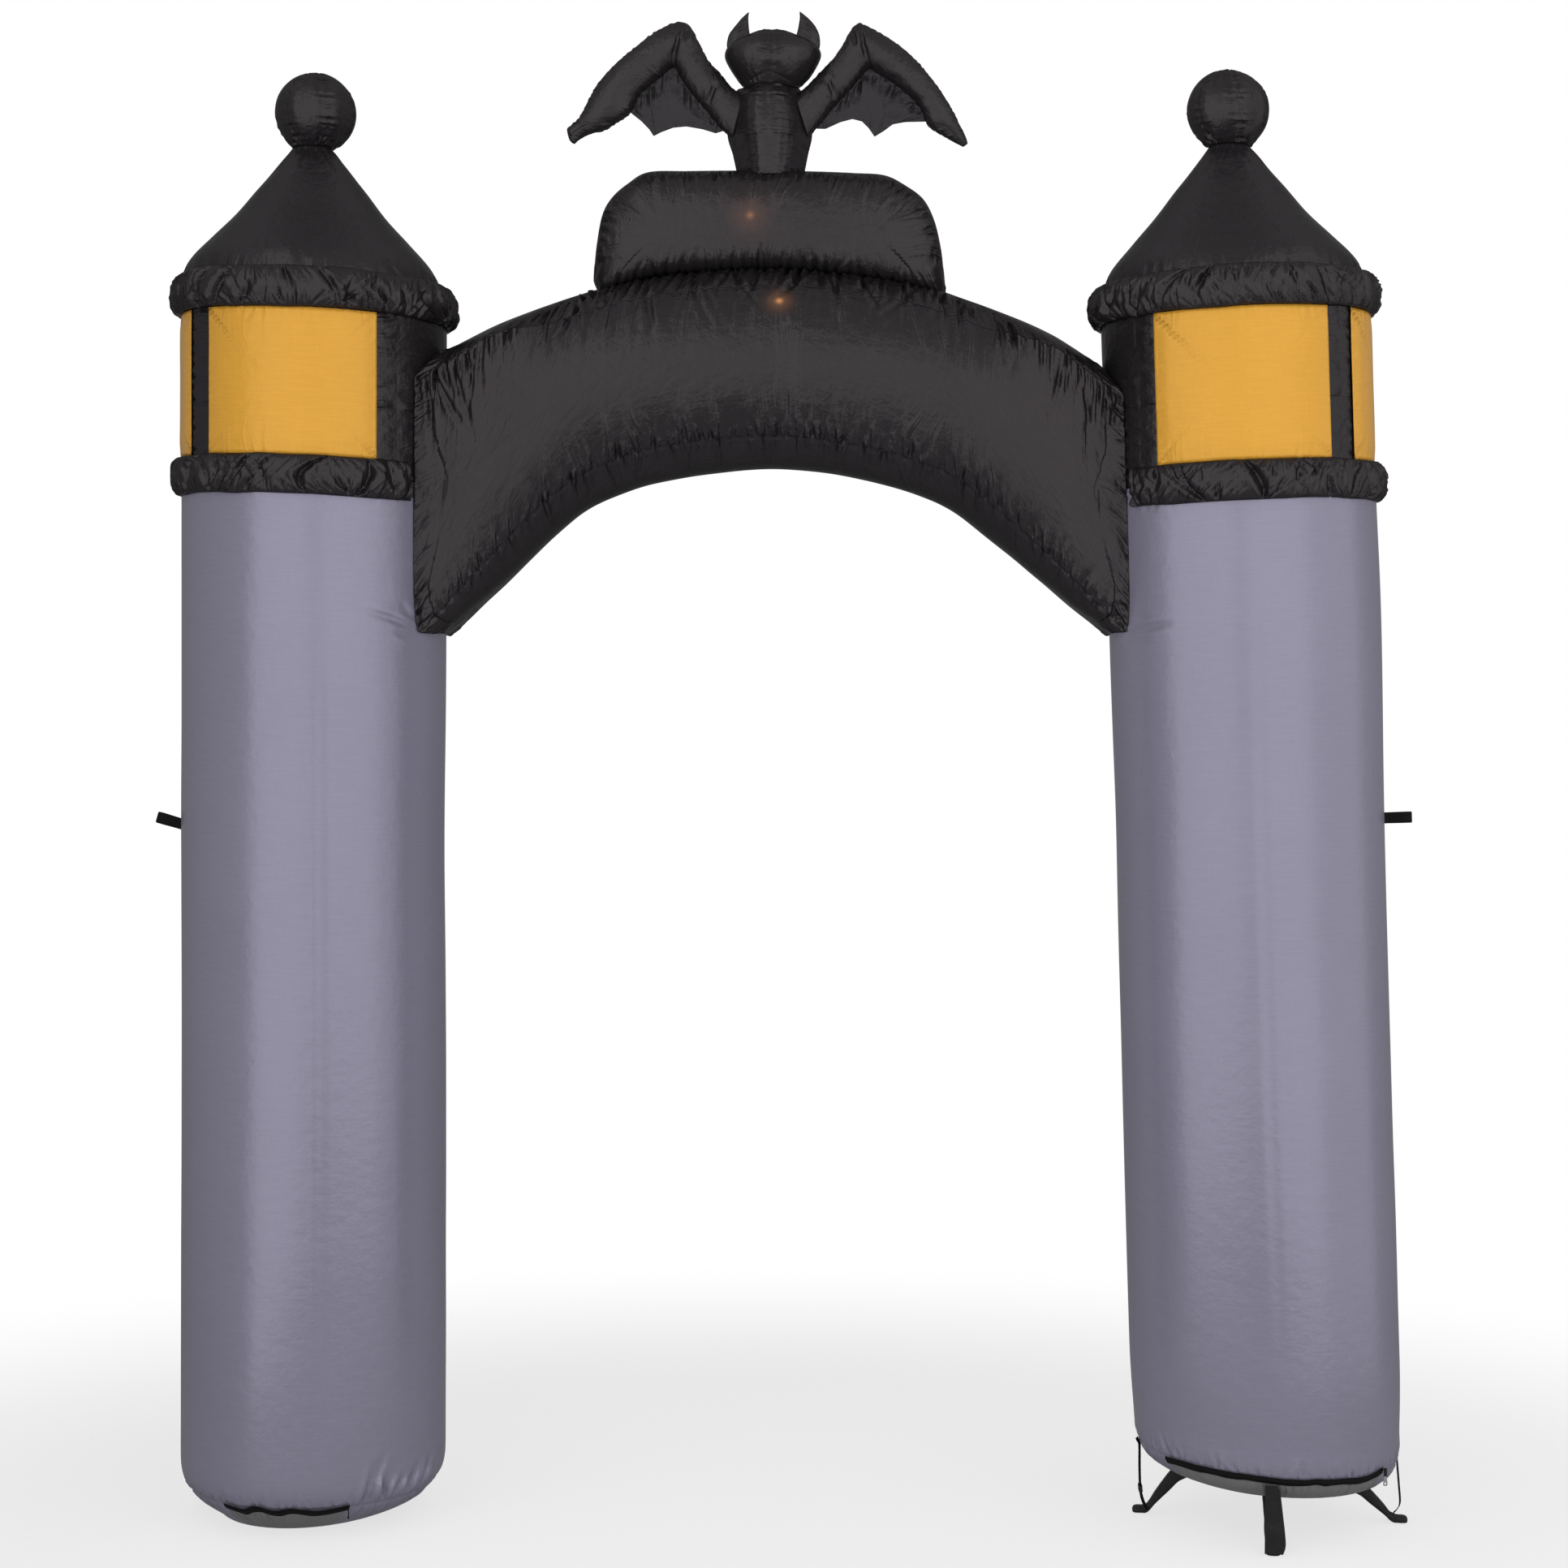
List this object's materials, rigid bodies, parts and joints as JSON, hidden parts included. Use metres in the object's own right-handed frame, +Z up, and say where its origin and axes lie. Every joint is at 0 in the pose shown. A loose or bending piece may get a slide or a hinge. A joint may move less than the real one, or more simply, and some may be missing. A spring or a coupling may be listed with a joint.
{
  "type": "inflatable arch",
  "caption": "Blown-up fabric archway: filled column tubes with capped turrets and ball tops, a bowed arch tube with a bat on its crest between them, and a low blower stand.",
  "frame": {"origin": "on the ground, at the centre of the object's width and depth", "axes": "+Z up, +X to the right and +Y away from someone who looks at the arch's rear, the side with the zips"},
  "size_m": [2.2761, 0.5218, 2.7325],
  "materials": {
    "grey_nylon": "soft satin sheen of coated nylon, pale grey with a lavender cast",
    "black_nylon": "soft satin sheen of coated nylon",
    "amber_nylon": "smooth translucent nylon, warm amber",
    "membrane_nylon": "thin matte nylon",
    "black_webbing": "woven webbing, matte",
    "zip_tape": "coil zip on woven tape",
    "black_plastic": "moulded plastic, lightly textured",
    "zip_steel": "stamped steel",
    "pull_cord": "braided cord"
  },
  "bodies": {
    "root": {"arch": "black_nylon", "bat_body": "black_nylon", "bat_ear_left": "black_nylon", "bat_ear_right": "black_nylon", "bat_head": "black_nylon", "bat_membrane_left": "membrane_nylon", "bat_membrane_right": "membrane_nylon", "bat_wing_left": "black_nylon", "bat_wing_right": "black_nylon", "column_left": "grey_nylon", "column_right": "grey_nylon", "crest": "black_nylon", "finial_left": "black_nylon", "finial_right": "black_nylon", "leg_strap_inner": "black_webbing", "leg_strap_outer": "black_webbing", "lower_roll_left": "black_nylon", "lower_roll_right": "black_nylon", "roof_left": "black_nylon", "roof_right": "black_nylon", "stand_hub": "black_plastic", "stand_leg_front": "black_plastic", "stand_leg_inner": "black_plastic", "stand_leg_outer": "black_plastic", "stand_leg_rear": "black_plastic", "strap_slider_inner": "black_plastic", "tether_loop_left": "black_webbing", "tether_loop_right": "black_webbing", "turret_left": "black_nylon", "turret_right": "black_nylon", "upper_roll_left": "black_nylon", "upper_roll_right": "black_nylon", "window_left_front": "amber_nylon", "window_left_outer": "amber_nylon", "window_left_rear": "amber_nylon", "window_right_front": "amber_nylon", "window_right_outer": "amber_nylon", "window_right_rear": "amber_nylon", "zip_left": "zip_tape", "zip_pull_left": "pull_cord", "zip_pull_right": "zip_steel", "zip_right": "zip_tape"}
  },
  "joints": []
}
